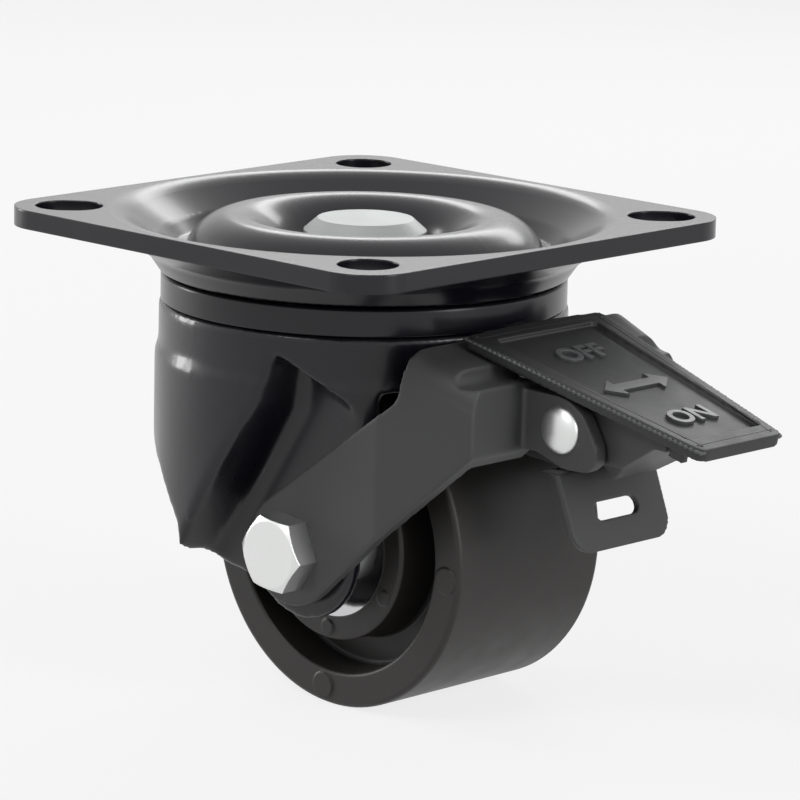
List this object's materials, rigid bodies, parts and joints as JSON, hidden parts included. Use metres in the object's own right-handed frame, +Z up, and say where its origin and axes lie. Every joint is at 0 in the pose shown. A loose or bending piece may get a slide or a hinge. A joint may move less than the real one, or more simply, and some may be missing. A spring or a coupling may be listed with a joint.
{
  "type": "braked swivel plate castor",
  "caption": "Low, wide-wheeled swivel castor with a square pressed top plate and a foot pedal that presses a brake leaf on the tread.",
  "frame": {"origin": "where the swivel axis meets the flat top face of the mounting plate", "axes": "+Z up, out of the plate's mounting face; +X towards the side the wheel trails to, where the pedal is; the axle runs along Y with its bolt head on the -Y side"},
  "size_m": [0.1421, 0.098, 0.0892],
  "materials": {
    "black_steel": "glossy",
    "matte_steel": "satin",
    "zinc_steel": "satin",
    "race_steel": "polished",
    "wheel_nylon": "satin",
    "pad_plastic": "matte"
  },
  "bodies": {
    "mounting_head": {"top_plate": "black_steel", "king_pin": "zinc_steel", "lower_cup": "zinc_steel"},
    "upper_race": {"upper_balls": "race_steel"},
    "lower_race": {"lower_balls": "race_steel"},
    "swivel_frame": {"fork": "black_steel", "dust_ring": "black_steel", "leaf_hanger": "matte_steel", "leaf_pin": "zinc_steel", "brake_bracket": "matte_steel", "axle_bolt": "zinc_steel", "axle_nut": "zinc_steel", "nut_washer": "zinc_steel", "axle_sleeve": "zinc_steel", "spacer_rings": "zinc_steel", "bearing_inner_rings": "race_steel", "pedal_pin": "zinc_steel"},
    "rolling_wheel": {"wheel": "wheel_nylon", "bearing_outer_rings": "race_steel", "bearing_shields": "zinc_steel"},
    "hub_race": {"bearing_balls": "race_steel"},
    "brake_pedal": {"pedal_lever": "matte_steel", "pedal_cover": "pad_plastic"},
    "brake_blade": {"brake_leaf": "matte_steel"}
  },
  "joints": [
    {"name": "swivel", "type": "hinge", "parent": "mounting_head", "child": "swivel_frame", "pos_m": [0, 0, 0], "axis": [0, 0, 1], "continuous": true},
    {"name": "upper_ball_orbit", "type": "hinge", "parent": "mounting_head", "child": "upper_race", "pos_m": [0, 0, -0.008], "axis": [0, 0, 1], "continuous": true},
    {"name": "lower_ball_orbit", "type": "hinge", "parent": "mounting_head", "child": "lower_race", "pos_m": [0, 0, -0.0184], "axis": [0, 0, 1], "continuous": true},
    {"name": "wheel_roll", "type": "hinge", "parent": "swivel_frame", "child": "rolling_wheel", "pos_m": [0.0124, 0, -0.0577], "axis": [0, 1, 0], "continuous": true},
    {"name": "hub_ball_orbit", "type": "hinge", "parent": "swivel_frame", "child": "hub_race", "pos_m": [0.0124, 0, -0.0577], "axis": [0, 1, 0], "continuous": true},
    {"name": "pedal_press", "type": "hinge", "parent": "swivel_frame", "child": "brake_pedal", "pos_m": [0.0629, 0, -0.0292], "axis": [0, 1, 0], "range_deg": [0, 20]},
    {"name": "blade_press", "type": "hinge", "parent": "swivel_frame", "child": "brake_blade", "pos_m": [0.0315, 0, -0.0235], "axis": [0, 1, 0], "range_deg": [0, 3]}
  ],
  "couplings": [
    {"joint": "upper_ball_orbit", "follows": "swivel", "ratio": 0.5},
    {"joint": "lower_ball_orbit", "follows": "swivel", "ratio": 0.5},
    {"joint": "hub_ball_orbit", "follows": "wheel_roll", "ratio": 0.619},
    {"joint": "blade_press", "follows": "pedal_press", "ratio": 0.15}
  ]
}
